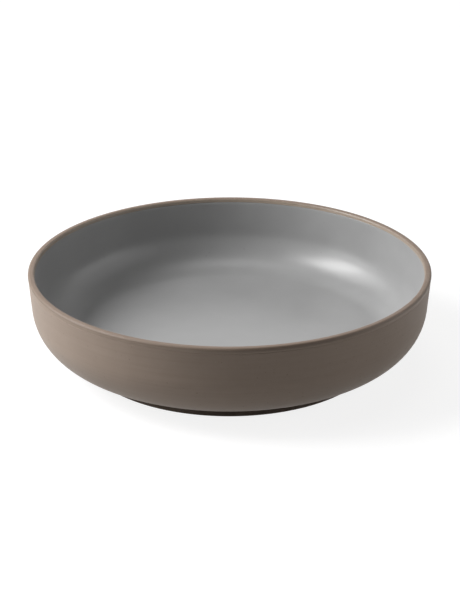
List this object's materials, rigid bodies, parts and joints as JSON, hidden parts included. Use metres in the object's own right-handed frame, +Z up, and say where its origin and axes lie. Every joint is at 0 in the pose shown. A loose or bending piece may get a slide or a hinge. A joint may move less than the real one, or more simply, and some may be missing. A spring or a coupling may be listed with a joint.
{
  "type": "serving bowl",
  "caption": "Low round stoneware serving bowl with near-upright sides, a brown glazed lip, a grey satin glazed inside, a matt taupe outside and a bare clay foot ring.",
  "frame": {"origin": "on the table, under the middle of the bowl", "axes": "+Z up along the bowl's axis, X and Y level"},
  "size_m": [0.275, 0.275, 0.0653],
  "materials": {
    "clay": "fired, unglazed",
    "bare_clay": "fired, unglazed, ground flat",
    "grey_glaze": "satin",
    "brown_glaze": "satin",
    "taupe_coat": "matt",
    "taupe_base": "matt"
  },
  "bodies": {
    "root": {"clay_body": "clay", "foot_ring": "bare_clay", "inner_glaze": "grey_glaze", "rim_band": "brown_glaze", "outer_coat": "taupe_coat", "base_coat": "taupe_base"}
  },
  "joints": []
}
